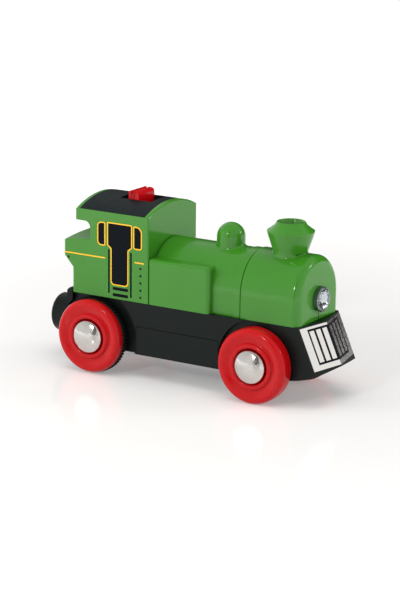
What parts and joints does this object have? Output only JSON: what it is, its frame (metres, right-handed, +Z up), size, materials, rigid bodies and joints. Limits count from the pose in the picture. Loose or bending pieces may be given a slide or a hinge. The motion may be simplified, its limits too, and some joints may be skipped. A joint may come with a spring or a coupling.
{
  "type": "toy train locomotive",
  "caption": "Small battery-driven tank locomotive for grooved wooden track, with a roof slide switch, headlamp, front plough and rear magnetic coupling.",
  "frame": {"origin": "middle of the overall length and width, on the ground under the wheels", "axes": "+X forward along the engine, +Y to its left, +Z up"},
  "size_m": [0.0928, 0.036, 0.0514],
  "materials": {
    "green_plastic": "gloss moulded green ABS",
    "roof_black": "matte black",
    "red_plastic": "gloss moulded red",
    "black_plastic": "satin black moulding",
    "tyre_rubber": "matte black rubber",
    "cap_steel": "polished pressed steel",
    "steel": "bright drawn steel",
    "chromed_plastic": "vacuum metallised reflector",
    "clear_lens": "clear moulded lens",
    "silver_foil": "printed silver foil",
    "brass_contact": "plated spring brass",
    "board_green": "solder mask",
    "board_parts": "moulded component bodies",
    "white_gear": "natural acetal",
    "cell_jacket": "printed metal jacket",
    "wire_jacket": "flexible PVC",
    "magnet_steel": "nickel plated magnet"
  },
  "bodies": {
    "chassis_body": {"board_components": "board_parts", "body_shell": "green_plastic", "chassis": "black_plastic", "chimney": "green_plastic", "circuit_board": "board_green", "contact_front": "steel", "contact_rear": "steel", "contact_spring": "steel", "coupling_cup": "black_plastic", "coupling_magnet": "magnet_steel", "coupling_rivet": "steel", "gear_pins": "steel", "gearbox_frame": "black_plastic", "grille_label": "silver_foil", "headlamp_led": "clear_lens", "headlamp_lens": "clear_lens", "headlamp_reflector": "chromed_plastic", "lead_wires": "wire_jacket", "motor_can": "steel", "motor_end_cap": "black_plastic", "motor_strap": "steel", "motor_terminals": "brass_contact", "roof_panel": "roof_black", "shell_screws": "steel"},
    "rear_wheelset": {"rear_axle": "steel", "axle_gear": "white_gear", "rear_wheel_left": "red_plastic", "rear_wheel_right": "red_plastic", "rear_cap_left": "cap_steel", "rear_cap_right": "cap_steel", "rear_tyre_left": "tyre_rubber", "rear_tyre_right": "tyre_rubber"},
    "front_wheelset": {"front_axle": "steel", "front_wheel_left": "red_plastic", "front_wheel_right": "red_plastic", "front_cap_left": "cap_steel", "front_cap_right": "cap_steel"},
    "second_gear_body": {"second_gear": "white_gear"},
    "first_gear_body": {"first_gear": "white_gear"},
    "motor_rotor": {"motor_shaft": "steel", "motor_pinion": "white_gear"},
    "switch": {"switch_button": "red_plastic", "switch_slider": "black_plastic", "switch_wiper": "brass_contact"},
    "cover": {"battery_cover": "black_plastic"},
    "cover_screw_body": {"cover_screw": "steel"},
    "cell": {"battery_cell": "cell_jacket"}
  },
  "joints": [
    {"name": "rear_axle_spin", "type": "hinge", "parent": "chassis_body", "child": "rear_wheelset", "pos_m": [-0.02611, 0, 0.0108], "axis": [0, 1, 0], "continuous": true},
    {"name": "front_axle_spin", "type": "hinge", "parent": "chassis_body", "child": "front_wheelset", "pos_m": [0.02689, 0, 0.0105], "axis": [0, 1, 0], "continuous": true},
    {"name": "second_gear_spin", "type": "hinge", "parent": "chassis_body", "child": "second_gear_body", "pos_m": [-0.02681, 0.007, 0.01732], "axis": [0, 1, 0], "continuous": true},
    {"name": "first_gear_spin", "type": "hinge", "parent": "chassis_body", "child": "first_gear_body", "pos_m": [-0.02352, 0.007, 0.023], "axis": [0, 1, 0], "continuous": true},
    {"name": "motor_spin", "type": "hinge", "parent": "chassis_body", "child": "motor_rotor", "pos_m": [-0.01664, 0.007, 0.0246], "axis": [0, 1, 0], "continuous": true},
    {"name": "switch_slide", "type": "slide", "parent": "chassis_body", "child": "switch", "axis": [1, 0, 0], "range_m": [-0.0025, 0.0025]},
    {"name": "cover_off", "type": "slide", "parent": "chassis_body", "child": "cover", "axis": [0, 0, -1], "range_m": [0, 0.016]},
    {"name": "cover_screw_turn", "type": "hinge", "parent": "cover", "child": "cover_screw_body", "pos_m": [0.01039, 0.00898, 0.008], "axis": [0, 0, 1], "continuous": true},
    {"name": "cell_out", "type": "slide", "parent": "chassis_body", "child": "cell", "axis": [0, 0, -1], "range_m": [0, 0.0144]}
  ],
  "couplings": [
    {"joint": "second_gear_spin", "follows": "rear_axle_spin", "ratio": -2.25},
    {"joint": "first_gear_spin", "follows": "rear_axle_spin", "ratio": 5.0625},
    {"joint": "motor_spin", "follows": "rear_axle_spin", "ratio": -12.656},
    {"joint": "cell_out", "follows": "cover_off", "ratio": 0.9}
  ]
}
